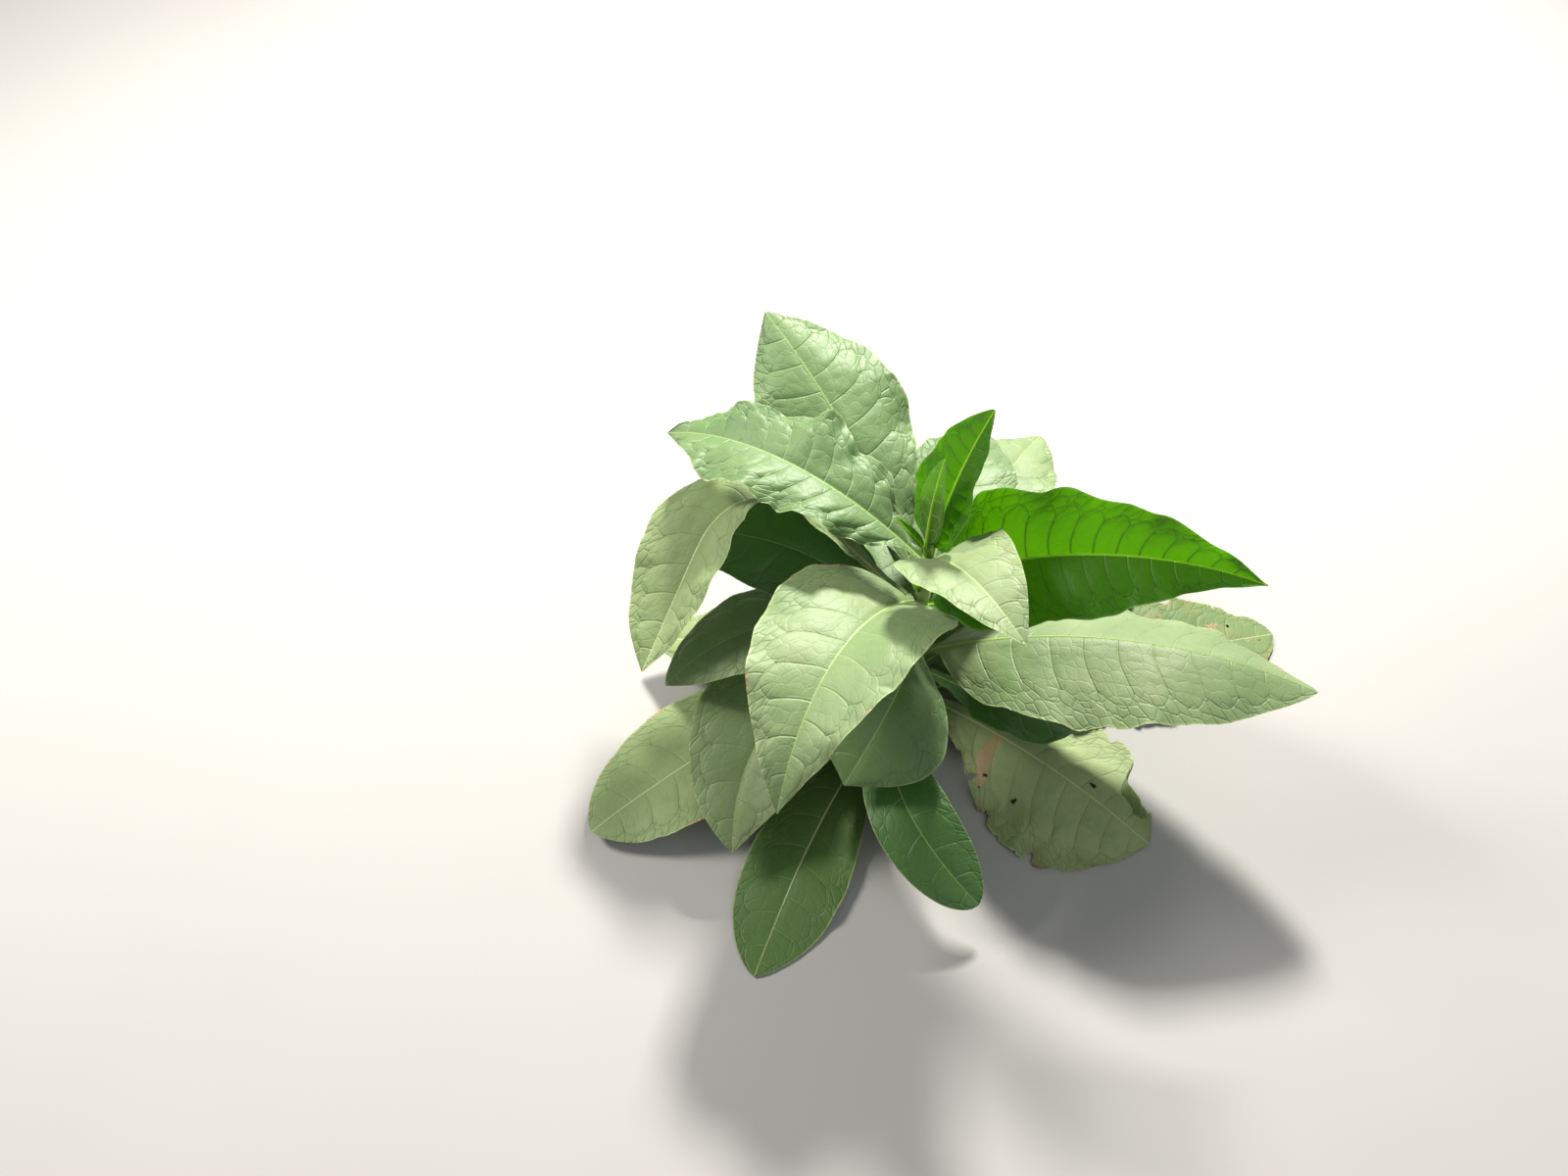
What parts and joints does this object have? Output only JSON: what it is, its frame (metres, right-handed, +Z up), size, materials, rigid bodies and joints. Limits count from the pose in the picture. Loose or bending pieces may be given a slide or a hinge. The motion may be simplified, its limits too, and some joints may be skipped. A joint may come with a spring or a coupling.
{
  "type": "tobacco plant",
  "caption": "Broad-leaved tobacco plant: a short tapering stem rooted in level ground, with large puckered leaves in a spiral.",
  "frame": {"origin": "middle of the flat cut under the stem, at ground level", "axes": "+Z up; seen from -Y, +X is to the right, and the longest low leaf points to +X"},
  "size_m": [0.9382, 0.7797, 0.514],
  "materials": {
    "stem": "green, finely hairy, matt",
    "young_leaf": "thin fresh blade that light shines through",
    "grown_leaf": "matt, dusty grey-green, puckered between pale veins",
    "old_leaf": "matt, yellowing, with brown dry patches"
  },
  "bodies": {
    "root": {"stem": "stem", "spear_leaf": "young_leaf", "bright_top_leaf": "young_leaf", "front_top_leaf": "grown_leaf", "puckered_left_leaf": "grown_leaf", "tall_back_leaf": "grown_leaf", "bright_right_leaf": "young_leaf", "broad_front_leaf": "grown_leaf", "middle_back_leaf": "grown_leaf", "sweeping_left_leaf": "old_leaf", "curled_front_leaf": "grown_leaf", "pale_back_leaf": "grown_leaf", "low_left_leaf": "grown_leaf", "under_right_leaf": "grown_leaf", "long_right_leaf": "grown_leaf", "shaded_left_leaf": "grown_leaf", "front_left_leaf": "grown_leaf", "low_back_leaf": "grown_leaf", "low_right_back_leaf": "grown_leaf", "rounded_front_leaf": "grown_leaf", "ground_left_leaf": "old_leaf", "wide_left_leaf": "old_leaf", "torn_right_leaf": "old_leaf", "ground_back_leaf": "old_leaf", "ground_front_leaf": "old_leaf", "ground_right_leaf": "old_leaf", "axil_leaf": "young_leaf", "side_shoot_leaf": "young_leaf", "bud_leaf_left": "young_leaf", "bud_leaf_front": "young_leaf"}
  },
  "joints": []
}
